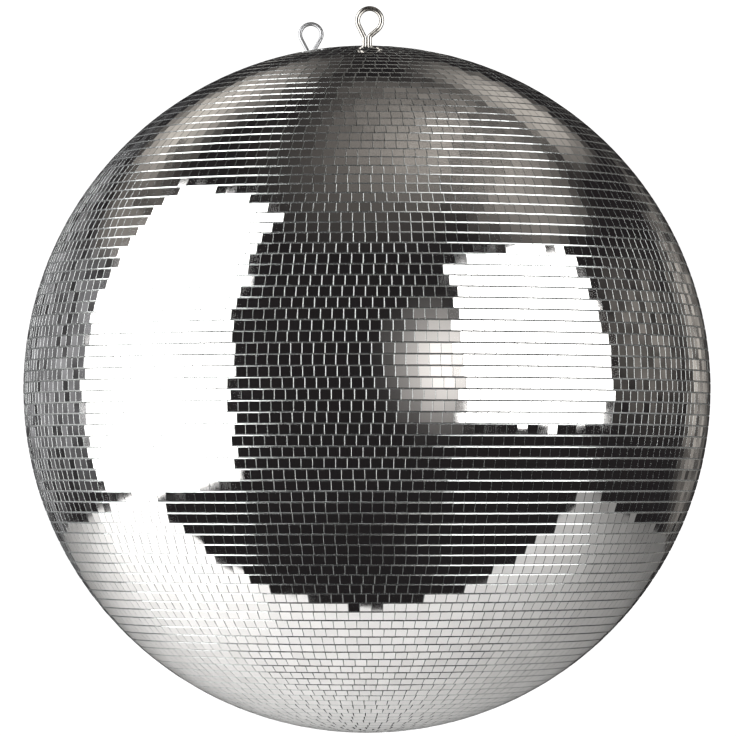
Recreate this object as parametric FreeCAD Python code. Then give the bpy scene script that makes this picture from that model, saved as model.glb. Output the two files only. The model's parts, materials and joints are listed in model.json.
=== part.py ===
import FreeCAD
import Part
import math
import os

# A hanging mirror ball. Two moulded half shells make a hollow core. The core is coated with
# adhesive and tiled with small square glass mirrors in level rows. A bent-wire eye passes
# through a steel crown plate inside the top and carries the ball; a second, thinner eye takes a
# safety wire. Millimetres. +Z is up. The origin is on the ball's turning axis, under the top of
# the main eye's ring, where a hook bears.

# --- The ball -------------------------------------------------------------------------------
BALL_DIAMETER = 610.0            # over the mirror faces
TILE_SIDE = 9.5
TILE_GAP = 0.2                   # between rows, at the mirror face
TILE_THICKNESS = 1.6
ADHESIVE_THICKNESS = 0.8
CORE_WALL = 4.0
BELT_COUNT = 19                  # groups of neighbouring tile rows

# --- The core's joint -----------------------------------------------------------------------
JOINT_RING_HEIGHT = 40.0
JOINT_RING_WALL = 3.0

# --- The crown plate and its rivets ---------------------------------------------------------
CROWN_PLATE_DIAMETER = 210.0
CROWN_PLATE_THICKNESS = 2.5
RIVET_COUNT = 8
RIVET_EDGE_DISTANCE = 12.0       # from the rivet circle to the plate's edge
RIVET_SHANK_DIAMETER = 4.0
RIVET_HEAD_DIAMETER = 8.0
RIVET_HEAD_DEPTH = 2.0
RIVET_TAIL_DIAMETER = 6.5
RIVET_TAIL_LENGTH = 2.0
RIVET_HOLE_CLEARANCE = 0.1       # all round the shank

# --- The two eyes ---------------------------------------------------------------------------
# Heights are measured outwards from the mirror faces, along the eye's own axis.
MAIN_EYE = {
    "wire": 4.5,
    "ring_width": 26.0,          # outside
    "ring_height": 23.1,         # to the ring's centre
    "ring_offset": 2.4,          # the ring's centre stands this far to +X of the legs
    "neck_height": 7.6,          # where the legs part
    "neck_bend": 2.8,            # radius of the wire's centre line
    "tail_length": 14.0,
    "tail_bend": 5.0,
    "tail_splay": 80.0,          # degrees from the legs
    "washer_diameter": 26.0,
    "washer_thickness": 2.0,
    "tilt_left": 0.0,            # degrees from the ball's axis towards -X
    "tilt_back": 0.0,            # degrees towards +Y
}
SAFETY_EYE = {
    "wire": 3.6,
    "ring_width": 23.0,
    "ring_height": 26.6,
    "ring_offset": 2.8,
    "neck_height": 8.5,
    "neck_bend": 2.5,
    "tail_length": 11.0,
    "tail_bend": 4.0,
    "tail_splay": 80.0,
    "washer_diameter": 22.0,
    "washer_thickness": 1.6,
    "tilt_left": 9.25,
    "tilt_back": 11.5,
}
LEG_GAP = 0.1                    # between the two legs of one eye
RUNNING_CLEARANCE = 0.08         # between an eye's legs and its bush, all round
WASHER_CLEARANCE = 0.1           # between an eye's legs and its washer, all round
THRUST_GAP = 0.3                 # between a washer and the crown plate it turns under

# --- The bushes and the bottom mirror -------------------------------------------------------
BUSH_WALL = 1.2
BUSH_LIP = 2.0                   # least reach of a bush's flange past its barrel
SAFETY_BUSH_LIP = 4.0
BUSH_CLEARANCE = 0.05            # between a bush's barrel and its hole, all round
OPENING_CLEARANCE = 0.3          # round anything that fills an opening in the tiles

# --- Worked out from the sizes above --------------------------------------------------------
FACE_RADIUS = BALL_DIAMETER / 2
BACK_RADIUS = FACE_RADIUS - TILE_THICKNESS
CORE_RADIUS = BACK_RADIUS - ADHESIVE_THICKNESS
CORE_INNER_RADIUS = CORE_RADIUS - CORE_WALL
PLATE_INNER_RADIUS = CORE_INNER_RADIUS - CROWN_PLATE_THICKNESS
PAST_PLATE = PLATE_INNER_RADIUS - CROWN_PLATE_THICKNESS   # where cuts through the plate end
ROW_PITCH = 2 * math.degrees(math.atan((TILE_SIDE + TILE_GAP) / 2 / FACE_RADIUS))

ORIGIN = FreeCAD.Vector(0, 0, 0)
AXIS_X = FreeCAD.Vector(1, 0, 0)
AXIS_Y = FreeCAD.Vector(0, 1, 0)
AXIS_Z = FreeCAD.Vector(0, 0, 1)


def leg_radius(eye):
    """Radius of the circle that just holds both legs of an eye."""
    return eye["wire"] + LEG_GAP / 2


def bush_bore_radius(eye):
    return leg_radius(eye) + RUNNING_CLEARANCE


def bush_barrel_radius(eye):
    return bush_bore_radius(eye) + BUSH_WALL


def washer_seat_height(eye):
    """Distance from the ball's centre to the top face of an eye's washer."""
    rim = eye["washer_diameter"] / 2
    return math.sqrt(PLATE_INNER_RADIUS ** 2 - rim ** 2) - THRUST_GAP


def eye_rotation(eye):
    """Turn that takes +Z to the eye's own axis, through the ball's centre."""
    back = FreeCAD.Rotation(AXIS_X, -eye["tilt_back"])
    left = FreeCAD.Rotation(AXIS_Y, -eye["tilt_left"])
    return back.multiply(left)


def turned(shape, rotation):
    """The shape turned about the ball's centre."""
    result = shape.copy()
    result.Placement = FreeCAD.Placement(ORIGIN, rotation).multiply(shape.Placement)
    return result


def ball(radius):
    return Part.makeSphere(radius, ORIGIN, AXIS_Z, -90, 90)


def spherical_shell(outer, inner):
    return ball(outer).cut(ball(inner))


def rod(radius, low, high):
    """A round bar on the Z axis."""
    return Part.makeCylinder(radius, high - low, FreeCAD.Vector(0, 0, low), AXIS_Z)


def revolved(outline):
    """A solid of revolution about Z from (radius, height) corners."""
    corners = [FreeCAD.Vector(radius, 0, height) for radius, height in outline]
    face = Part.Face(Part.makePolygon(corners + corners[:1]))
    return face.revolve(ORIGIN, AXIS_Z, 360)


# --- Tile rows ------------------------------------------------------------------------------
def last_row():
    """Number of rows between the equator's row and each pole."""
    least_opening = bush_barrel_radius(MAIN_EYE) + BUSH_LIP + OPENING_CLEARANCE
    free_angle = math.degrees(math.acos(least_opening / FACE_RADIUS))
    return math.floor(free_angle / ROW_PITCH - 0.5)


def row_outline(row):
    """The four corners of a row's section: back low, face low, face high, back high."""
    latitude = math.radians(row * ROW_PITCH)
    corners = []
    for distance, along in (
        (BACK_RADIUS, -TILE_SIDE / 2),
        (FACE_RADIUS, -TILE_SIDE / 2),
        (FACE_RADIUS, TILE_SIDE / 2),
        (BACK_RADIUS, TILE_SIDE / 2),
    ):
        radius = distance * math.cos(latitude) - along * math.sin(latitude)
        height = distance * math.sin(latitude) + along * math.cos(latitude)
        corners.append((radius, height))
    return corners


def pole_opening_radius():
    """Radius of the round opening left in the tiles at each pole."""
    return min(radius for radius, height in row_outline(last_row()))


def flange_radius(eye):
    """A bush's flange: the main one fills the pole's opening, the other has its own lip."""
    if eye is MAIN_EYE:
        return pole_opening_radius() - OPENING_CLEARANCE
    return bush_barrel_radius(eye) + SAFETY_BUSH_LIP


def flange_opening(eye):
    """The round hole that a bush's flange needs through the tiles and the adhesive."""
    hole = rod(flange_radius(eye) + OPENING_CLEARANCE, CORE_INNER_RADIUS, FACE_RADIUS + TILE_SIDE)
    return turned(hole, eye_rotation(eye))


def mirror_belts():
    """Every tile row as a ring, top row first, shared out among the belts."""
    safety_opening = flange_opening(SAFETY_EYE)
    rings = []
    for row in range(last_row(), -last_row() - 1, -1):
        ring = revolved(row_outline(row))
        if ring.distToShape(safety_opening)[0] == 0:
            ring = ring.cut(safety_opening)
        rings.append(ring)
    belts = {}
    for index in range(BELT_COUNT):
        first = round(index * len(rings) / BELT_COUNT)
        end = round((index + 1) * len(rings) / BELT_COUNT)
        belts["mirror_belt_%02d" % (index + 1)] = Part.makeCompound(rings[first:end])
    return belts


def tile_adhesive():
    """The coat all over the core. Every tile's back bears on it at the tile's middle."""
    coat = spherical_shell(BACK_RADIUS, CORE_RADIUS)
    return coat.cut(flange_opening(MAIN_EYE)).cut(flange_opening(SAFETY_EYE))


def bottom_closing_mirror():
    """The round mirror that closes the tiles at the bottom pole."""
    return rod(pole_opening_radius() - OPENING_CLEARANCE, -FACE_RADIUS, -BACK_RADIUS)


# --- Core, crown plate and rivets -----------------------------------------------------------
def slab(low, high):
    """A block, wider than the ball, between two heights."""
    corner = FreeCAD.Vector(-BALL_DIAMETER, -BALL_DIAMETER, low)
    return Part.makeBox(2 * BALL_DIAMETER, 2 * BALL_DIAMETER, high - low, corner)


def rivet_rotations():
    """One turn for each rivet, spaced so that two of them stand either side of the safety eye."""
    circle = CROWN_PLATE_DIAMETER / 2 - RIVET_EDGE_DISTANCE
    polar = math.degrees(math.asin(circle / CORE_RADIUS))
    safety_axis = eye_rotation(SAFETY_EYE).multVec(AXIS_Z)
    start = math.degrees(math.atan2(safety_axis.y, safety_axis.x)) + 180 / RIVET_COUNT
    tilt = FreeCAD.Rotation(AXIS_Y, polar)
    return [
        FreeCAD.Rotation(AXIS_Z, start + index * 360 / RIVET_COUNT).multiply(tilt)
        for index in range(RIVET_COUNT)
    ]


def rivet_head_height():
    """Distance from the ball's centre to the flat top of a head, its rim flush with the core."""
    return math.sqrt(CORE_RADIUS ** 2 - (RIVET_HEAD_DIAMETER / 2) ** 2)


def rivet_head():
    """The countersunk cone."""
    return Part.makeCone(
        RIVET_SHANK_DIAMETER / 2,
        RIVET_HEAD_DIAMETER / 2,
        RIVET_HEAD_DEPTH,
        FreeCAD.Vector(0, 0, rivet_head_height() - RIVET_HEAD_DEPTH),
        AXIS_Z,
    )


def rivet():
    neck = CORE_RADIUS - RIVET_HEAD_DEPTH
    tail_end = PLATE_INNER_RADIUS - RIVET_TAIL_LENGTH
    shank = rod(RIVET_SHANK_DIAMETER / 2, tail_end, neck)
    tail = rod(RIVET_TAIL_DIAMETER / 2, tail_end, PLATE_INNER_RADIUS).common(ball(PLATE_INNER_RADIUS))
    return rivet_head().fuse([shank, tail]).removeSplitter()


def rivet_hole():
    shank = rod(RIVET_SHANK_DIAMETER / 2 + RIVET_HOLE_CLEARANCE, PAST_PLATE, rivet_head_height())
    mouth = rod(RIVET_HEAD_DIAMETER / 2, rivet_head_height(), FACE_RADIUS)
    return rivet_head().fuse([shank, mouth])


def top_holes():
    """Everything that passes through the top of the core and the crown plate."""
    holes = [turned(rivet_hole(), rotation) for rotation in rivet_rotations()]
    for eye in (MAIN_EYE, SAFETY_EYE):
        radius = bush_barrel_radius(eye) + BUSH_CLEARANCE
        holes.append(turned(rod(radius, PAST_PLATE, FACE_RADIUS), eye_rotation(eye)))
    return holes


def core_upper_shell():
    shell = spherical_shell(CORE_RADIUS, CORE_INNER_RADIUS).common(slab(0, BALL_DIAMETER))
    return shell.cut(top_holes())


def core_lower_shell():
    return spherical_shell(CORE_RADIUS, CORE_INNER_RADIUS).common(slab(-BALL_DIAMETER, 0))


def core_joint_ring():
    ring = spherical_shell(CORE_INNER_RADIUS, CORE_INNER_RADIUS - JOINT_RING_WALL)
    return ring.common(slab(-JOINT_RING_HEIGHT / 2, JOINT_RING_HEIGHT / 2))


def crown_plate():
    dish = spherical_shell(CORE_INNER_RADIUS, PLATE_INNER_RADIUS)
    disc = rod(CROWN_PLATE_DIAMETER / 2, 0, CORE_RADIUS)
    return dish.common(disc).cut(top_holes())


def crown_plate_rivets():
    return Part.makeCompound([turned(rivet(), rotation) for rotation in rivet_rotations()])


# --- Eyes, bushes and washers ---------------------------------------------------------------
def eye_bush(eye):
    """A flanged bush: flange on the core, flush with the mirrors; barrel down through the plate."""
    top = rod(flange_radius(eye), CORE_INNER_RADIUS, FACE_RADIUS).cut(ball(CORE_RADIUS))
    barrel = rod(bush_barrel_radius(eye), PAST_PLATE, FACE_RADIUS).cut(ball(PLATE_INNER_RADIUS))
    bore = rod(bush_bore_radius(eye), PAST_PLATE, FACE_RADIUS)
    return turned(top.fuse(barrel).cut(bore).removeSplitter(), eye_rotation(eye))


def eye_washer(eye):
    """The flat washer that the splayed legs hold up against the crown plate."""
    seat = washer_seat_height(eye)
    low = seat - eye["washer_thickness"]
    hole = rod(leg_radius(eye) + WASHER_CLEARANCE, low, seat)
    return turned(rod(eye["washer_diameter"] / 2, low, seat).cut(hole), eye_rotation(eye))


def arc_points(centre, radius, start, end):
    """Start, middle and end of an arc, as (sideways, height) pairs; angles in degrees."""
    angles = [math.radians(angle) for angle in (start, (start + end) / 2, end)]
    return [
        (centre[0] + radius * math.cos(angle), centre[1] + radius * math.sin(angle))
        for angle in angles
    ]


def ring_centre_radius(eye):
    """Radius of the wire's centre line round the ring."""
    return (eye["ring_width"] - eye["wire"]) / 2


def flank_angle(eye, side):
    """Direction from the neck's bend to the straight flank, for the leg on that side."""
    bend_centre = (eye["wire"] / 2 + LEG_GAP / 2 + eye["neck_bend"], eye["neck_height"])
    across = side * eye["ring_offset"] - bend_centre[0]
    up = eye["ring_height"] - bend_centre[1]
    reach = eye["neck_bend"] + ring_centre_radius(eye)
    turn = math.degrees(math.acos(reach / math.hypot(across, up)))
    return math.degrees(math.atan2(up, across)) + turn


def leg_pieces(eye, side):
    """Lines and arcs of one leg, from the ring down to the tail, as lists of (x, z) points."""
    leg = eye["wire"] / 2 + LEG_GAP / 2
    angle = flank_angle(eye, side)
    ring_middle = (side * eye["ring_offset"], eye["ring_height"])
    ring_end = arc_points(ring_middle, -ring_centre_radius(eye), angle, angle)[0]
    neck = arc_points((leg + eye["neck_bend"], eye["neck_height"]), eye["neck_bend"], angle, 180)
    bend_height = washer_seat_height(eye) - eye["washer_thickness"] - FACE_RADIUS
    bend_middle = (leg + eye["tail_bend"], bend_height)
    bend = arc_points(bend_middle, eye["tail_bend"], 180, 180 + eye["tail_splay"])
    direction = math.radians(eye["tail_splay"])
    tail_end = (
        bend[2][0] + eye["tail_length"] * math.sin(direction),
        bend[2][1] - eye["tail_length"] * math.cos(direction),
    )
    pieces = [[ring_end, neck[0]], neck, [neck[2], bend[0]], bend, [bend[2], tail_end]]
    return [[(side * across, up) for across, up in piece] for piece in pieces]


def bent_wire_eye(eye):
    """One length of wire: tail, leg, ring, leg and tail, all in one plane."""
    right = leg_pieces(eye, 1)
    left = [piece[::-1] for piece in leg_pieces(eye, -1)[::-1]]
    ring = arc_points(
        (eye["ring_offset"], eye["ring_height"]),
        ring_centre_radius(eye),
        360 - flank_angle(eye, -1),
        flank_angle(eye, 1) - 180,
    )
    ring[0] = left[-1][-1]
    ring[2] = right[0][0]
    edges = []
    for piece in left + [ring] + right:
        points = [FreeCAD.Vector(across, 0, FACE_RADIUS + up) for across, up in piece]
        curve = Part.Arc(*points) if len(points) == 3 else Part.LineSegment(*points)
        edges.append(curve.toShape())
    path = Part.Wire(edges)
    start = edges[0].firstVertex().Point
    direction = edges[0].lastVertex().Point - start
    section = Part.Wire(Part.Circle(start, direction, eye["wire"] / 2).toShape())
    return turned(path.makePipeShell([section], True, False), eye_rotation(eye))


def hanging_height():
    """From the ball's centre to the underside of the ring's top, on the turning axis."""
    inside = ring_centre_radius(MAIN_EYE) - MAIN_EYE["wire"] / 2
    rise = math.sqrt(inside ** 2 - MAIN_EYE["ring_offset"] ** 2)
    return FACE_RADIUS + MAIN_EYE["ring_height"] + rise


def all_nodes():
    nodes = {
        "main_eye": bent_wire_eye(MAIN_EYE),
        "main_eye_washer": eye_washer(MAIN_EYE),
        "main_eye_bush": eye_bush(MAIN_EYE),
        "safety_eye": bent_wire_eye(SAFETY_EYE),
        "safety_eye_washer": eye_washer(SAFETY_EYE),
        "safety_eye_bush": eye_bush(SAFETY_EYE),
        "crown_plate": crown_plate(),
        "crown_plate_rivets": crown_plate_rivets(),
        "core_upper_shell": core_upper_shell(),
        "core_lower_shell": core_lower_shell(),
        "core_joint_ring": core_joint_ring(),
        "tile_adhesive": tile_adhesive(),
        "bottom_closing_mirror": bottom_closing_mirror(),
    }
    nodes.update(mirror_belts())
    return nodes


os.makedirs("parts", exist_ok=True)
for name, shape in all_nodes().items():
    shape.translate(FreeCAD.Vector(0, 0, -hanging_height()))
    shape.exportStep("parts/" + name + ".step")
    print(name, len(shape.Solids), "solids, valid", shape.isValid(), "volume", round(shape.Volume))
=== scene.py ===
import json
import math

import bpy
from mathutils import Matrix, Vector


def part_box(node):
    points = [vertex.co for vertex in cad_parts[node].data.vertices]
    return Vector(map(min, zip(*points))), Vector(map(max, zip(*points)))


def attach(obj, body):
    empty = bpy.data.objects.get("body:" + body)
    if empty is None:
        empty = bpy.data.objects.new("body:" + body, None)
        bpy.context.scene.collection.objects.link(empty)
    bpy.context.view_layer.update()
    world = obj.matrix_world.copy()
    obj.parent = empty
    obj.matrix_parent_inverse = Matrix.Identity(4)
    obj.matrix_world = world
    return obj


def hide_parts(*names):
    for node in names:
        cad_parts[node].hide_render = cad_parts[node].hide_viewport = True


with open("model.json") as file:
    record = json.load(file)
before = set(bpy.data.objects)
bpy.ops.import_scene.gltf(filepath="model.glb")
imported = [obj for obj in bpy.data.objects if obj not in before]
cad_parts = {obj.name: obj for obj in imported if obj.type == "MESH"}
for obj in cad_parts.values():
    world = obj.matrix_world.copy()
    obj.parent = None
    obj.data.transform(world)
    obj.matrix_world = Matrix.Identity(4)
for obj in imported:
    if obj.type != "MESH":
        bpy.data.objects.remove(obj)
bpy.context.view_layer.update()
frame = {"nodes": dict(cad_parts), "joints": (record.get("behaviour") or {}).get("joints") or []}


# ---- Core ----------------------------------------------------------------------------------
# Two hollow half balls of black moulded plastic, glued edge to edge over a lap ring. The mould
# leaves a fine, even mottle on them. None of it shows once the ball is tiled.

CORE_BLACK = (0.022, 0.022, 0.024, 1)
CORE_GREY = (0.05, 0.05, 0.052, 1)
MOULDED_GRAIN = 420
MOULDED_RELIEF = 0.0002


def add(tree, kind, inputs=None, **settings):
    """Adds a node, sets its properties and feeds its inputs with values or other outputs."""
    node = tree.nodes.new(kind)
    for key, value in settings.items():
        setattr(node, key, value)
    for name, value in (inputs or {}).items():
        if isinstance(value, bpy.types.NodeSocket):
            tree.links.new(value, node.inputs[name])
        else:
            node.inputs[name].default_value = value
    return node


def new_material(name):
    """A new material with its node tree and its shader, ready to be fed."""
    material = bpy.data.materials.new(name)
    material.use_nodes = True
    return material, material.node_tree, material.node_tree.nodes["Principled BSDF"]


def grain(tree, scale, detail=3.0, roughness=0.55, stretch=(1, 1, 1)):
    """Noise that lies still on the piece, and can be drawn out along an axis."""
    place = add(tree, "ShaderNodeTexCoord").outputs["Object"]
    drawn = add(tree, "ShaderNodeMapping", {"Vector": place, "Scale": stretch}).outputs[0]
    inputs = {"Vector": drawn, "Scale": scale, "Detail": detail, "Roughness": roughness}
    return add(tree, "ShaderNodeTexNoise", inputs).outputs["Fac"]


def between(tree, value, low, high, start=0.3, end=0.7):
    """Maps a value onto a range, such as noise onto a range of roughness."""
    inputs = {"Value": value, "From Min": start, "From Max": end, "To Min": low, "To Max": high}
    return add(tree, "ShaderNodeMapRange", inputs).outputs["Result"]


def two_tone(tree, value, dark, light):
    """Mixes two colours by a noise value."""
    mix = add(tree, "ShaderNodeMix", data_type="RGBA")
    tree.links.new(value, mix.inputs["Factor"])
    mix.inputs["A"].default_value = dark
    mix.inputs["B"].default_value = light
    return mix.outputs["Result"]


def relief(tree, height, depth, strength=0.5):
    """Fine relief from a height, with its depth in metres."""
    inputs = {"Height": height, "Distance": depth, "Strength": strength}
    return add(tree, "ShaderNodeBump", inputs).outputs["Normal"]


def feed(tree, shader, **sources):
    """Links outputs to the shader's inputs, and sets the inputs that are plain values."""
    for name, value in sources.items():
        socket = shader.inputs[name.replace("_", " ")]
        if isinstance(value, bpy.types.NodeSocket):
            tree.links.new(value, socket)
        else:
            socket.default_value = value


def moulded_plastic():
    material, tree, shader = new_material("moulded_black_plastic")
    mottle = grain(tree, MOULDED_GRAIN)
    feed(
        tree,
        shader,
        Base_Color=two_tone(tree, mottle, CORE_BLACK, CORE_GREY),
        Roughness=between(tree, mottle, 0.42, 0.6),
        Normal=relief(tree, mottle, MOULDED_RELIEF),
    )
    return material


def coat_cad_nodes(material, *nodes):
    """Gives CAD nodes, whose shape is right as it is, their finish."""
    for node in nodes:
        mesh = frame["nodes"][node].data
        mesh.materials.clear()
        mesh.materials.append(material)


coat_cad_nodes(moulded_plastic(), "core_upper_shell", "core_lower_shell", "core_joint_ring")


# ---- Crown plate, rivets and washers -------------------------------------------------------
# A dished steel plate inside the top of the core carries the ball. It is zinc plated, and eight
# soft aluminium rivets hold it. The eyes' flanged bushes, and the washers that turn under the
# plate on the eyes' splayed ends, are plated like it.

ZINC_CLOUDS = 60
ZINC_SCRATCHES = 90
ZINC_RELIEF = 0.00005
RIVET_MARKS = 500
ZINC_DARK = (0.38, 0.39, 0.4, 1)
ZINC_LIGHT = (0.62, 0.63, 0.63, 1)
RIVET_DARK = (0.55, 0.55, 0.56, 1)
RIVET_LIGHT = (0.74, 0.74, 0.75, 1)


def zinc_plate():
    material, tree, shader = new_material("zinc_plated_steel")
    clouds = grain(tree, ZINC_CLOUDS, detail=6)
    scratches = grain(tree, ZINC_SCRATCHES, stretch=(1, 14, 1))
    feed(
        tree,
        shader,
        Base_Color=two_tone(tree, clouds, ZINC_DARK, ZINC_LIGHT),
        Metallic=1.0,
        Roughness=between(tree, scratches, 0.24, 0.42),
        Normal=relief(tree, scratches, ZINC_RELIEF, 0.3),
    )
    return material


def rivet_aluminium():
    material, tree, shader = new_material("dull_aluminium")
    marks = grain(tree, RIVET_MARKS)
    feed(
        tree,
        shader,
        Base_Color=two_tone(tree, marks, RIVET_DARK, RIVET_LIGHT),
        Metallic=1.0,
        Roughness=between(tree, marks, 0.32, 0.5),
    )
    return material


plated_steel = zinc_plate()
coat_cad_nodes(plated_steel, "crown_plate", "main_eye_washer", "safety_eye_washer")
coat_cad_nodes(plated_steel, "main_eye_bush", "safety_eye_bush")
coat_cad_nodes(rivet_aluminium(), "crown_plate_rivets")


# ---- Adhesive ------------------------------------------------------------------------------
# A pale coat all over the core, which the tiles are pressed into while it is wet. It dries dull
# and slightly lumpy, and shows as a hairline in the joints and round the eyes.

ADHESIVE_LUMPS = 260
ADHESIVE_RELIEF = 0.0003
ADHESIVE_SHADE = (0.34, 0.34, 0.33, 1)
ADHESIVE_PALE = (0.62, 0.62, 0.6, 1)


def dried_adhesive():
    material, tree, shader = new_material("pale_adhesive")
    lumps = grain(tree, ADHESIVE_LUMPS, detail=4)
    feed(
        tree,
        shader,
        Base_Color=two_tone(tree, lumps, ADHESIVE_SHADE, ADHESIVE_PALE),
        Roughness=between(tree, lumps, 0.55, 0.75),
        Normal=relief(tree, lumps, ADHESIVE_RELIEF),
    )
    return material


coat_cad_nodes(dried_adhesive(), "tile_adhesive")


# ---- Mirror tiles --------------------------------------------------------------------------
# Square float-glass mirrors, pressed into the adhesive one by one in level rows, 48 rows above the
# middle one and 48 below. Each is cut from a strip whose long edges are ground wider than its
# cuts, and leans a little its own way. A row starts anywhere, so upright joints don't line up.

TILE_SIDE = 0.0095
TILE_GAP = 0.0002
GLASS_THICKNESS = 0.0016
STRIP_ARRIS = 0.00064  # width ground off a strip's long edges
CUT_ARRIS = 0.00014
ARRIS_SLOPE = 0.64  # depth ground away, as a share of the width
TILE_LEAN = math.radians(0.75)
TILE_TWIST = math.radians(1.0)
LEAST_TILE_SHARE = 0.99
BELT_COUNT = 19
LAST_ROW = 48
EYE_OPENING = 0.0148  # no tile's middle is nearer to the safety eye's axis
ROW_KEY_STEP = 1000.0  # more than the tiles in a belt, so that no two tiles share a key
FACING_UP = 0.9

SMEARS = 34
RIPPLE = 300
RIPPLE_RELIEF = 0.000004
FROSTING = 900
FROSTING_RELIEF = 0.00004
SILVER_DARK = (0.86, 0.845, 0.83, 1)
SILVER_LIGHT = (0.95, 0.935, 0.92, 1)
GROUND_GLASS_DARK = (0.56, 0.58, 0.57, 1)
GROUND_GLASS_LIGHT = (0.76, 0.78, 0.77, 1)

low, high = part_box("tile_adhesive")
ball_centre = (low + high) / 2
low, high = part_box("mirror_belt_10")
face_radius = (high.x - low.x) / 2
row_pitch = 2 * math.atan((TILE_SIDE + TILE_GAP) / 2 / face_radius)


def silvered_face():
    material, tree, shader = new_material("silvered_mirror")
    tone = add(tree, "ShaderNodeAttribute", attribute_name="tile_tone").outputs["Fac"]
    smears = grain(tree, SMEARS, detail=5, roughness=0.6)
    ripple = grain(tree, RIPPLE, detail=1)
    feed(
        tree,
        shader,
        Base_Color=two_tone(tree, tone, SILVER_DARK, SILVER_LIGHT),
        Metallic=1.0,
        Roughness=between(tree, smears, 0.02, 0.075, 0.35, 0.75),
        Normal=relief(tree, ripple, RIPPLE_RELIEF, 0.15),
    )
    return material


def ground_edge():
    material, tree, shader = new_material("ground_glass_edge")
    frosting = grain(tree, FROSTING)
    feed(
        tree,
        shader,
        Base_Color=two_tone(tree, frosting, GROUND_GLASS_DARK, GROUND_GLASS_LIGHT),
        Metallic=0.9,
        Roughness=between(tree, frosting, 0.14, 0.28),
        Normal=relief(tree, frosting, FROSTING_RELIEF, 0.3),
    )
    return material


def calc(tree, operation, *values):
    """One step of arithmetic on numbers or outputs."""
    return add(tree, "ShaderNodeMath", dict(enumerate(values)), operation=operation).outputs[0]


def vector(tree, x, y, z):
    """Three numbers or outputs as one vector."""
    return add(tree, "ShaderNodeCombineXYZ", {"X": x, "Y": y, "Z": z}).outputs[0]


def chance(tree, low, high, seed, key):
    """A random number for each element, the same on every run."""
    inputs = {"Min": low, "Max": high, "ID": key, "Seed": seed}
    node = tree.nodes.new("FunctionNodeRandomValue")
    sockets = {socket.name: socket for socket in node.inputs if socket.enabled}
    for name, value in inputs.items():
        if isinstance(value, bpy.types.NodeSocket):
            tree.links.new(value, sockets[name])
        else:
            sockets[name].default_value = value
    return [socket for socket in node.outputs if socket.enabled][0]


def raised_step(tree, block, rise, across, along):
    """Raises the top face and draws its four sides in, first across the strip, then along it."""
    normal = add(tree, "GeometryNodeInputNormal").outputs[0]
    up = add(tree, "ShaderNodeSeparateXYZ", {0: normal}).outputs["Z"]
    top = calc(tree, "GREATER_THAN", up, FACING_UP)
    inputs = {"Mesh": block, "Selection": top, "Offset Scale": rise}
    lifted = add(tree, "GeometryNodeExtrudeMesh", inputs)
    block, top = lifted.outputs["Mesh"], lifted.outputs["Top"]
    for axis, share in (((1, 0, 0), across), ((0, 1, 0), along)):
        inputs = {"Geometry": block, "Selection": top, "Scale": share, "Axis": axis}
        block = add(tree, "GeometryNodeScaleElements", inputs, scale_mode="SINGLE_AXIS").outputs[0]
    return block, top


def stored(tree, geometry, name, value, data_type, domain):
    """The geometry with a value kept on it by name."""
    inputs = {"Geometry": geometry, "Name": name, "Value": value}
    settings = {"data_type": data_type, "domain": domain}
    return add(tree, "GeometryNodeStoreNamedAttribute", inputs, **settings).outputs[0]


def drawn_in(tree, side, width):
    """What is left of a side, as a share, once both its ends are ground back by a width."""
    ground = calc(tree, "MULTIPLY", width, 2.0)
    return calc(tree, "SUBTRACT", 1.0, calc(tree, "DIVIDE", ground, side))


def one_tile(tree, given):
    """A square of glass on its back, its face up at height 0. X is down the ball, Y along the row."""
    side, wide, narrow = given["Tile Side"], given["Strip Arris"], given["Cut Arris"]
    rise = calc(tree, "MULTIPLY", wide, given["Arris Slope"])
    body = calc(tree, "SUBTRACT", given["Glass Thickness"], rise)
    size = vector(tree, side, side, body)
    block = add(tree, "GeometryNodeMeshCube", {"Size": size}).outputs["Mesh"]
    middle = calc(tree, "MULTIPLY", calc(tree, "ADD", given["Glass Thickness"], rise), -0.5)
    inputs = {"Geometry": block, "Translation": vector(tree, 0.0, 0.0, middle)}
    block = add(tree, "GeometryNodeTransform", inputs).outputs[0]
    extra = calc(tree, "SUBTRACT", wide, narrow)
    first = calc(tree, "MULTIPLY", extra, given["Arris Slope"])
    block, top = raised_step(tree, block, first, drawn_in(tree, side, extra), 1.0)
    last = calc(tree, "MULTIPLY", narrow, given["Arris Slope"])
    left = calc(tree, "SUBTRACT", side, calc(tree, "MULTIPLY", extra, 2.0))
    across, along = drawn_in(tree, left, narrow), drawn_in(tree, side, narrow)
    block, top = raised_step(tree, block, last, across, along)
    return stored(tree, block, "silvered", top, "BOOLEAN", "FACE")


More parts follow.
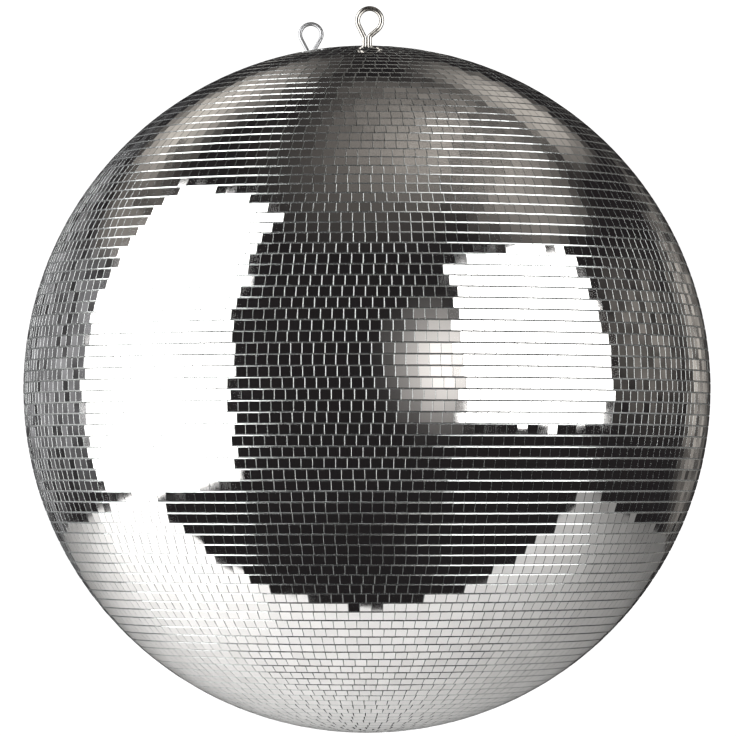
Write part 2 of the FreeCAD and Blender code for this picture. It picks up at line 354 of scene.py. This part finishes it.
def tile_rows():
    """The node tree that lays a belt of tile rows, and its inputs' identifiers."""
    tree = bpy.data.node_groups.new("mirror_tile_rows", "GeometryNodeTree")
    kinds = {
        "Tile Side": "NodeSocketFloat",
        "Tile Gap": "NodeSocketFloat",
        "Glass Thickness": "NodeSocketFloat",
        "Strip Arris": "NodeSocketFloat",
        "Cut Arris": "NodeSocketFloat",
        "Arris Slope": "NodeSocketFloat",
        "Face Radius": "NodeSocketFloat",
        "Ball Centre": "NodeSocketVector",
        "Row Pitch": "NodeSocketFloat",
        "Top Row": "NodeSocketInt",
        "Row Count": "NodeSocketInt",
        "Lean": "NodeSocketFloat",
        "Twist": "NodeSocketFloat",
        "Least Size": "NodeSocketFloat",
        "Opening Centre": "NodeSocketVector",
        "Opening Radius": "NodeSocketFloat",
        "Face Finish": "NodeSocketMaterial",
        "Edge Finish": "NodeSocketMaterial",
    }
    identifiers = {
        name: tree.interface.new_socket(name=name, in_out="INPUT", socket_type=kind).identifier
        for name, kind in kinds.items()
    }
    tree.interface.new_socket(name="Geometry", in_out="OUTPUT", socket_type="NodeSocketGeometry")
    given = add(tree, "NodeGroupInput").outputs

    # One point for each row, then one for each tile of that row.
    rows = add(tree, "GeometryNodeMeshLine", {"Count": given["Row Count"]}).outputs[0]
    number = calc(tree, "SUBTRACT", given["Top Row"], add(tree, "GeometryNodeInputIndex").outputs[0])
    rows = stored(tree, rows, "row", number, "FLOAT", "POINT")
    named = add(tree, "GeometryNodeInputNamedAttribute", {"Name": "row"}, data_type="FLOAT")
    row = named.outputs["Attribute"]
    latitude = calc(tree, "MULTIPLY", row, given["Row Pitch"])
    rise = calc(tree, "SINE", latitude)
    reach = calc(tree, "COSINE", latitude)
    half = calc(tree, "MULTIPLY", calc(tree, "ADD", given["Tile Side"], given["Tile Gap"]), 0.5)
    narrowing = calc(tree, "MULTIPLY", half, calc(tree, "ABSOLUTE", rise))
    tight = calc(tree, "SUBTRACT", calc(tree, "MULTIPLY", reach, given["Face Radius"]), narrowing)
    share = calc(tree, "ARCTANGENT", calc(tree, "DIVIDE", half, tight))
    tiles = calc(tree, "FLOOR", calc(tree, "DIVIDE", math.pi, share))
    inputs = {"Geometry": rows, "Amount": tiles}
    copies = add(tree, "GeometryNodeDuplicateElements", inputs, domain="POINT")
    start = chance(tree, 0.0, 1.0, 3, row)
    turn = calc(tree, "DIVIDE", calc(tree, "ADD", copies.outputs["Duplicate Index"], start), tiles)
    azimuth = calc(tree, "MULTIPLY", turn, math.tau)
    outward = vector(
        tree,
        calc(tree, "MULTIPLY", reach, calc(tree, "COSINE", azimuth)),
        calc(tree, "MULTIPLY", reach, calc(tree, "SINE", azimuth)),
        rise,
    )
    inputs = {0: outward, "Scale": given["Face Radius"]}
    out = add(tree, "ShaderNodeVectorMath", inputs, operation="SCALE").outputs[0]
    inputs = {0: out, 1: given["Ball Centre"]}
    place = add(tree, "ShaderNodeVectorMath", inputs, operation="ADD").outputs[0]
    inputs = {"Geometry": copies.outputs["Geometry"], "Position": place}
    laid = add(tree, "GeometryNodeSetPosition", inputs).outputs[0]

    # No tile reaches over the safety eye's bush.
    here = add(tree, "GeometryNodeInputPosition").outputs[0]
    inputs = {0: here, 1: given["Opening Centre"]}
    away = add(tree, "ShaderNodeVectorMath", inputs, operation="DISTANCE").outputs["Value"]
    over_bush = calc(tree, "LESS_THAN", away, given["Opening Radius"])
    inputs = {"Geometry": laid, "Selection": over_bush}
    laid = add(tree, "GeometryNodeDeleteGeometry", inputs, domain="POINT").outputs[0]

    # Each tile faces outwards, give or take how it was pressed in.
    key = add(tree, "GeometryNodeInputIndex").outputs[0]
    key = calc(tree, "ADD", key, calc(tree, "MULTIPLY", row, ROW_KEY_STEP))
    tip = calc(tree, "SUBTRACT", math.pi / 2, latitude)
    square_on = vector(tree, 0.0, tip, azimuth)
    facing = add(tree, "FunctionNodeEulerToRotation", {0: square_on}).outputs[0]
    pressed = vector(
        tree,
        calc(tree, "MULTIPLY", chance(tree, -1.0, 1.0, 5, key), given["Lean"]),
        calc(tree, "MULTIPLY", chance(tree, -1.0, 1.0, 7, key), given["Lean"]),
        calc(tree, "MULTIPLY", chance(tree, -1.0, 1.0, 11, key), given["Twist"]),
    )
    loose = add(tree, "FunctionNodeEulerToRotation", {0: pressed}).outputs[0]
    inputs = {"Rotation": facing, "Rotate By": loose}
    turned = add(tree, "FunctionNodeRotateRotation", inputs, rotation_space="LOCAL").outputs[0]
    cut = vector(
        tree,
        chance(tree, given["Least Size"], 1.0, 13, key),
        chance(tree, given["Least Size"], 1.0, 17, key),
        1.0,
    )
    tile = one_tile(tree, given)
    inputs = {"Points": laid, "Instance": tile, "Rotation": turned, "Scale": cut}
    placed = add(tree, "GeometryNodeInstanceOnPoints", inputs).outputs[0]

    # Each tile's own tone, then its ground edges, then its silvered face.
    tone = chance(tree, 0.0, 1.0, 19, add(tree, "GeometryNodeInputIndex").outputs[0])
    toned = stored(tree, placed, "tile_tone", tone, "FLOAT", "INSTANCE")
    real = add(tree, "GeometryNodeRealizeInstances", {"Geometry": toned}).outputs[0]
    inputs = {"Geometry": real, "Material": given["Edge Finish"]}
    edged = add(tree, "GeometryNodeSetMaterial", inputs).outputs[0]
    named = add(tree, "GeometryNodeInputNamedAttribute", {"Name": "silvered"}, data_type="BOOLEAN")
    inputs = {
        "Geometry": edged,
        "Selection": named.outputs["Attribute"],
        "Material": given["Face Finish"],
    }
    faced = add(tree, "GeometryNodeSetMaterial", inputs).outputs[0]
    add(tree, "NodeGroupOutput", {"Geometry": faced})
    return tree, identifiers


def made_plain(source, name):
    """The evaluated object as a plain mesh object; the source, with its modifier, is removed."""
    bpy.context.view_layer.update()
    evaluated = source.evaluated_get(bpy.context.evaluated_depsgraph_get())
    mesh = bpy.data.meshes.new_from_object(evaluated)
    bpy.data.objects.remove(source)
    mesh.name = name
    finishes = [finish for finish in mesh.materials if finish]
    places = [finishes.index(mesh.materials[face.material_index]) for face in mesh.polygons]
    mesh.materials.clear()
    for finish in finishes:
        mesh.materials.append(finish)
    mesh.polygons.foreach_set("material_index", places)
    piece = bpy.data.objects.new(name, mesh)
    bpy.context.scene.collection.objects.link(piece)
    return piece


def lay_belt(number, tree, identifiers, sizes):
    """One belt: the evaluated rows as a plain mesh, standing for the CAD's rings."""
    row_count = 2 * LAST_ROW + 1
    first = round((number - 1) * row_count / BELT_COUNT)
    end = round(number * row_count / BELT_COUNT)
    carrier = bpy.data.objects.new("belt_carrier", bpy.data.meshes.new("belt_carrier"))
    bpy.context.scene.collection.objects.link(carrier)
    modifier = carrier.modifiers.new("rows", "NODES")
    modifier.node_group = tree
    rows = {"Top Row": LAST_ROW - first, "Row Count": end - first}
    for name, value in {**sizes, **rows}.items():
        modifier[identifiers[name]] = value
    belt = made_plain(carrier, "mirror_tiles_%02d" % number)
    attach(belt, "ball")
    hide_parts("mirror_belt_%02d" % number)


swivel = [joint for joint in frame["joints"] if joint["name"] == "safety_eye_swivel"][0]
eye_axis = Vector(swivel["axis"]).normalized()
face_finish = silvered_face()
edge_finish = ground_edge()
tree, identifiers = tile_rows()
sizes = {
    "Tile Side": TILE_SIDE,
    "Tile Gap": TILE_GAP,
    "Glass Thickness": GLASS_THICKNESS,
    "Strip Arris": STRIP_ARRIS,
    "Cut Arris": CUT_ARRIS,
    "Arris Slope": ARRIS_SLOPE,
    "Face Radius": face_radius,
    "Ball Centre": ball_centre,
    "Row Pitch": row_pitch,
    "Lean": TILE_LEAN,
    "Twist": TILE_TWIST,
    "Least Size": LEAST_TILE_SHARE,
    "Opening Centre": ball_centre + eye_axis * face_radius,
    "Opening Radius": EYE_OPENING,
    "Face Finish": face_finish,
    "Edge Finish": edge_finish,
}
for number in range(1, BELT_COUNT + 1):
    lay_belt(number, tree, identifiers, sizes)


# ---- Bottom mirror -------------------------------------------------------------------------
# One round mirror, cut to close the hole that the last row leaves at the bottom. It is silvered
# and stuck down like the tiles.

coat_cad_nodes(face_finish, "bottom_closing_mirror")


# ---- Eyes ----------------------------------------------------------------------------------
# Each eye is one length of plated steel wire, drawn round and bent over a former: nickel on the
# main one, duller zinc on the safety eye. The drawing leaves fine lines along the wire.

WIRE_CLOUDS = 140
DRAWN_LINES = 700
DRAWN_RELIEF = 0.00003
NICKEL_DARK = (0.3, 0.285, 0.26, 1)
NICKEL_LIGHT = (0.6, 0.58, 0.54, 1)
DULL_ZINC_DARK = (0.34, 0.345, 0.35, 1)
DULL_ZINC_LIGHT = (0.5, 0.5, 0.51, 1)


def plated_wire(name, dark, light, smoothest, roughest):
    material, tree, shader = new_material(name)
    clouds = grain(tree, WIRE_CLOUDS, detail=5)
    lines = grain(tree, DRAWN_LINES, stretch=(1, 1, 0.12))
    feed(
        tree,
        shader,
        Base_Color=two_tone(tree, clouds, dark, light),
        Metallic=1.0,
        Roughness=between(tree, lines, smoothest, roughest),
        Normal=relief(tree, lines, DRAWN_RELIEF, 0.3),
    )
    return material


nickel_wire = plated_wire("nickel_plated_wire", NICKEL_DARK, NICKEL_LIGHT, 0.16, 0.32)
zinc_wire = plated_wire("zinc_plated_wire", DULL_ZINC_DARK, DULL_ZINC_LIGHT, 0.38, 0.55)
coat_cad_nodes(nickel_wire, "main_eye")
coat_cad_nodes(zinc_wire, "safety_eye")


# ---- Studio --------------------------------------------------------------------------------
# A pale floor that turns white towards a white backdrop, two large softboxes left and right of
# the camera, and what the mirrors see besides them: a paper sweep under and behind the ball, and
# the room's walls and ceiling, which fade into one another.

FLOOR_DROP = 0.62
FLOOR_REACH = 15
FLOOR_GREY = 0.6
WHITE_FROM, WHITE_BY = 0.5, 2.6  # metres behind the ball
WHITE_WIDTH, WHITE_EDGE = 1.8, 4.5  # metres to either side
BACKDROP_WHITE = 1.1
PAPER_FIBRE = 60
SOFTBOX_DISTANCE = 1.2
CEILING_HEIGHT = 1.6
WARM = (1.0, 0.94, 0.86, 1)
SOFT_WHITE = (1.0, 0.97, 0.94, 1)
COOL = (0.95, 0.96, 1.0, 1)
PLUM = (1.0, 0.9, 0.95, 1)
ROOM_GLOW = 0.016
CLUTTER = 0.8
CLUTTER_GRAIN = 9

X, Y, Z = Vector((1, 0, 0)), Vector((0, 1, 0)), Vector((0, 0, 1))


def softbox(name, azimuth, across, heights, radiance):
    """An upright rectangular light. Azimuth 0 is towards the camera, 90 to its right."""
    out = Matrix.Rotation(math.radians(azimuth), 3, "Z") @ -Y
    right = Z.cross(out)
    light = bpy.data.lights.new(name, "AREA")
    light.shape = "RECTANGLE"
    light.size = across[1] - across[0]
    light.size_y = heights[1] - heights[0]
    light.energy = radiance * math.pi * light.size * light.size_y
    box = bpy.data.objects.new(name, light)
    middle = out * SOFTBOX_DISTANCE + right * sum(across) / 2 + Z * sum(heights) / 2
    turn = Matrix((right, Z, out)).transposed()
    box.matrix_world = Matrix.Translation(ball_centre + middle) @ turn.to_4x4()
    bpy.context.scene.collection.objects.link(box)
    box.visible_camera = False


def card(name, centre, across, along, material, seen_by):
    """A flat card at a place measured from the ball's centre; across and along are half sides."""
    mesh = bpy.data.meshes.new(name)
    mesh.from_pydata([(-1, -1, 0), (1, -1, 0), (1, 1, 0), (-1, 1, 0)], [], [(0, 1, 2, 3)])
    mesh.materials.append(material)
    board = bpy.data.objects.new(name, mesh)
    turn = Matrix((across, along, across.cross(along).normalized())).transposed()
    board.matrix_world = Matrix.Translation(ball_centre + Vector(centre)) @ turn.to_4x4()
    bpy.context.scene.collection.objects.link(board)
    for ray in ("camera", "diffuse", "glossy", "transmission", "shadow"):
        setattr(board, "visible_" + ray, ray in seen_by)


def place_on_card(tree):
    """Where a point is on its card: -1 to 1 across it and along it."""
    place = add(tree, "ShaderNodeTexCoord").outputs["Object"]
    return add(tree, "ShaderNodeSeparateXYZ", {0: place}).outputs


def paper(name, shade, painted_far_shade, glow):
    """Matt paper with painted shade: its colour darkens away from the left softbox, to the right and
    the back, where that light falls off.
    """
    material, tree, shader = new_material(name)
    axes = place_on_card(tree)
    painted_falloff = calc(tree, "ADD", axes["X"], calc(tree, "MULTIPLY", axes["Y"], 0.45))
    painted_falloff = between(tree, painted_falloff, 0.0, 1.0, -0.8, 1.0)
    tone = two_tone(tree, painted_falloff, (shade, shade, shade, 1), (painted_far_shade, painted_far_shade, painted_far_shade, 1))
    fibre = between(tree, grain(tree, PAPER_FIBRE, detail=4), 0.82, 0.95)
    feed(tree, shader, Base_Color=tone, Roughness=fibre)
    feed(tree, shader, Emission_Color=(1, 1, 1, 1), Emission_Strength=glow)
    return material


def pale_floor():
    """Pale grey round the ball, running up to white in front of the backdrop."""
    material, tree, shader = new_material("pale_floor")
    axes = place_on_card(tree)
    aside = calc(tree, "ABSOLUTE", axes["X"])
    width, edge = WHITE_WIDTH / FLOOR_REACH, WHITE_EDGE / FLOOR_REACH
    in_line = between(tree, aside, 1.0, 0.0, width, edge)
    start, end = WHITE_FROM / FLOOR_REACH, WHITE_BY / FLOOR_REACH
    far_back = between(tree, axes["Y"], 0.0, 1.0, start, end)
    white = calc(tree, "MULTIPLY", far_back, in_line)
    feed(
        tree,
        shader,
        Base_Color=(0, 0, 0, 1),
        Roughness=1.0,
        Specular_IOR_Level=0.0,
        Emission_Color=(1, 1, 1, 1),
        Emission_Strength=between(tree, white, FLOOR_GREY, BACKDROP_WHITE, 0.0, 1.0),
    )
    return material


def faded(tree, distance, fade):
    """1 in the middle of a card, falling softly to 0 at its edge."""
    inputs = {"Value": distance, "From Min": 1.0 - fade, "To Min": 1.0, "To Max": 0.0}
    softly = {"interpolation_type": "SMOOTHSTEP"}
    return add(tree, "ShaderNodeMapRange", inputs, **softly).outputs["Result"]


def wall(name, centre, across, along, radiance, tint=WARM, clutter=0.0, is_round=False):
    """A part of the room in the mirrors, brightest in its middle and clear at its edges."""
    material = bpy.data.materials.new(name)
    material.use_nodes = True
    tree = material.node_tree
    tree.nodes.clear()
    if is_round:
        place = add(tree, "ShaderNodeTexCoord").outputs["Object"]
        reach = add(tree, "ShaderNodeVectorMath", {0: place}, operation="LENGTH").outputs["Value"]
        share = calc(tree, "POWER", faded(tree, reach, 1.0), 2.0)
    else:
        axes = place_on_card(tree)
        sides = [faded(tree, calc(tree, "ABSOLUTE", axes[axis]), 0.9) for axis in ("X", "Y")]
        share = calc(tree, "MULTIPLY", *sides)
    specks = grain(tree, CLUTTER_GRAIN, detail=4)
    things = between(tree, specks, 1.0 - clutter, 1.0 + clutter, 0.4, 0.6)
    strength = calc(tree, "MULTIPLY", calc(tree, "MULTIPLY", share, radiance), things)
    glow = add(tree, "ShaderNodeEmission", {"Color": tint, "Strength": strength}).outputs[0]
    clear = add(tree, "ShaderNodeBsdfTransparent").outputs[0]
    both = add(tree, "ShaderNodeAddShader", {0: glow, 1: clear}).outputs[0]
    add(tree, "ShaderNodeOutputMaterial", {"Surface": both})
    card(name, centre, across, along, material, ("glossy", "diffuse"))


def ceiling(name, x, y, across, along, radiance):
    """A lighter part of the ceiling, round a place measured from the ball's."""
    wall(name, (x, y, CEILING_HEIGHT), X * across, Y * along, radiance)


softbox("softbox_left", -60, (-1.0, 0.43), (-0.6, 1.7), 4.4)
softbox("softbox_right", 50, (-0.5, 0.66), (-0.22, 0.93), 3.8)

floor_reach = (X * FLOOR_REACH, Y * FLOOR_REACH)
card("floor", (0, 0, -FLOOR_DROP), *floor_reach, pale_floor(), ("camera",))
backdrop_paper = paper("backdrop_paper", 0.9, 0.9, BACKDROP_WHITE)
card("backdrop", (0, 9.0, 0.9), X * 2.0, Z * 1.6, backdrop_paper, ("camera",))
# The sweep carries painted shade, its colour darkening from 0.9 to 0.36 to the right and back, and
# its faint glow of 0.04 is painted light.
sweep_paper_painted_shade = paper("sweep_paper_painted_shade", 0.9, 0.36, 0.04)
card("sweep", (-0.03, 1.0, -0.6), X * 1.3, Y * 1.33, sweep_paper_painted_shade, ("glossy", "diffuse"))

glow_reach = (X * 0.5, Z * 0.55)
wall("glow_by_right_softbox", (0.45, -1.1, 0.12), *glow_reach, 1.4, SOFT_WHITE, is_round=True)
ceiling("ceiling_over_ball", 0.55, -0.1, 1.0, 1.05, 0.52)
ceiling("ceiling_right", 1.5, -0.2, 0.9, 1.1, 0.22)
ceiling("ceiling_front", 0.0, -0.7, 1.0, 1.2, 0.08)
ceiling("ceiling_back_left", -1.0, 1.45, 1.0, 1.1, 0.58)
ceiling("ceiling_back_right", 0.9, 1.4, 0.8, 1.0, 0.5)
ceiling("ceiling_far_left", -2.4, 0.8, 1.2, 1.6, 0.2)
wall("back_wall_left", (-1.9, 2.5, 0.3), X * 1.7, Z * 1.6, 0.19, COOL, CLUTTER)
wall("back_wall_right", (2.0, 2.5, 0.2), X * 1.3, Z * 1.3, 0.28, WARM, CLUTTER)
wall("side_wall_left", (-2.6, 1.2, 0.3), Y * 2.0, Z * 1.6, 0.19, COOL, CLUTTER)
wall("side_wall_right", (2.6, 0.8, 0.5), Y * 1.6, Z * 1.1, 0.12, WARM, CLUTTER)

# Past the floor the eye meets the same pale grey; the mirrors meet the room's faint glow.
world = bpy.data.worlds.new("room")
world.use_nodes = True
tree = world.node_tree
tree.nodes.clear()
grey = {"Color": (1, 1, 1, 1), "Strength": FLOOR_GREY}
seen = add(tree, "ShaderNodeBackground", grey).outputs[0]
glow = {"Color": PLUM, "Strength": ROOM_GLOW}
mirrored = add(tree, "ShaderNodeBackground", glow).outputs[0]
straight = add(tree, "ShaderNodeLightPath").outputs["Is Camera Ray"]
mixed = add(tree, "ShaderNodeMixShader", {0: straight, 1: mirrored, 2: seen}).outputs[0]
add(tree, "ShaderNodeOutputWorld", {"Surface": mixed})
bpy.context.scene.world = world


# ---- Camera --------------------------------------------------------------------------------
# A long lens, a little lower than the ball's middle, aimed just over it so that the eyes have
# room above.

LENS = 268.4
CAMERA_DISTANCE = 16 * face_radius
CAMERA_DROP = math.radians(1.0)
AIM_RIGHT, AIM_UP = 0.0009, 0.0187

camera = bpy.data.objects.new("camera", bpy.data.cameras.new("camera"))
camera.data.lens = LENS
camera.data.sensor_width = 36
camera.data.clip_end = 60
lowered = Vector((0, -math.cos(CAMERA_DROP), -math.sin(CAMERA_DROP)))
stand = ball_centre + lowered * CAMERA_DISTANCE
aim = ball_centre + X * AIM_RIGHT + Z * AIM_UP
camera.rotation_euler = (aim - stand).to_track_quat("-Z", "Y").to_euler()
camera.location = stand
bpy.context.scene.collection.objects.link(camera)
bpy.context.scene.camera = camera
bpy.context.scene.view_settings.view_transform = "Standard"
